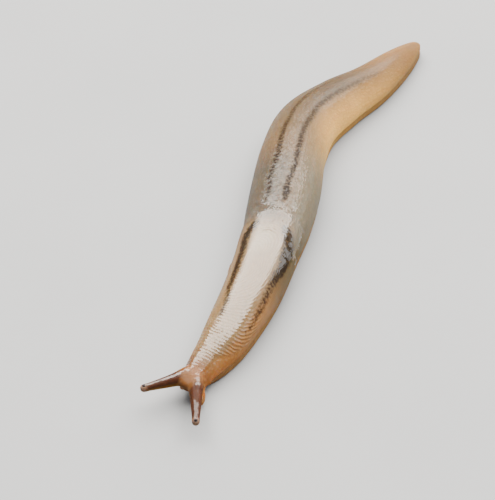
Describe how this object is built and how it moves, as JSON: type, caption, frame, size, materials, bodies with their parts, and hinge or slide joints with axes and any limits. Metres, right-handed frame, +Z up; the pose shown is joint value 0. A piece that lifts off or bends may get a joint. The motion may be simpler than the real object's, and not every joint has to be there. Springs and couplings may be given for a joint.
{
  "type": "slug",
  "caption": "Striped greenhouse slug, life size, crawling with its feelers out; ridged mantle over the front third and a keeled tail.",
  "frame": {"origin": "on the floor, under the middle of the animal's box", "axes": "+Z up out of the floor, +Y along the body away from the snout, +X towards the side that the tail bends to"},
  "size_m": [0.0285, 0.0607, 0.0054],
  "materials": {
    "flank_skin": "wet, amber, a little translucent",
    "back_skin": "wet, tan with dark bands",
    "mantle_skin": "wet and finely ridged, tan with two dark bands",
    "feeler_skin": "wet, brown above and pale below",
    "sole_skin": "wet, pale and translucent",
    "eye_black": "glossy black"
  },
  "bodies": {
    "root": {"foot_front": "sole_skin", "foot_middle": "sole_skin", "foot_rear": "sole_skin", "head": "flank_skin", "neck": "flank_skin", "trunk_front": "flank_skin", "trunk_middle": "back_skin", "trunk_rear": "back_skin", "tail": "back_skin", "mantle": "mantle_skin", "breathing_hole_lip": "mantle_skin", "mouth": "flank_skin", "eye_feeler_left": "feeler_skin", "eye_feeler_right": "feeler_skin", "eye_feeler_tip_left": "feeler_skin", "eye_feeler_tip_right": "feeler_skin", "eye_left": "eye_black", "eye_right": "eye_black", "small_feeler_left": "flank_skin", "small_feeler_right": "flank_skin"}
  },
  "joints": []
}
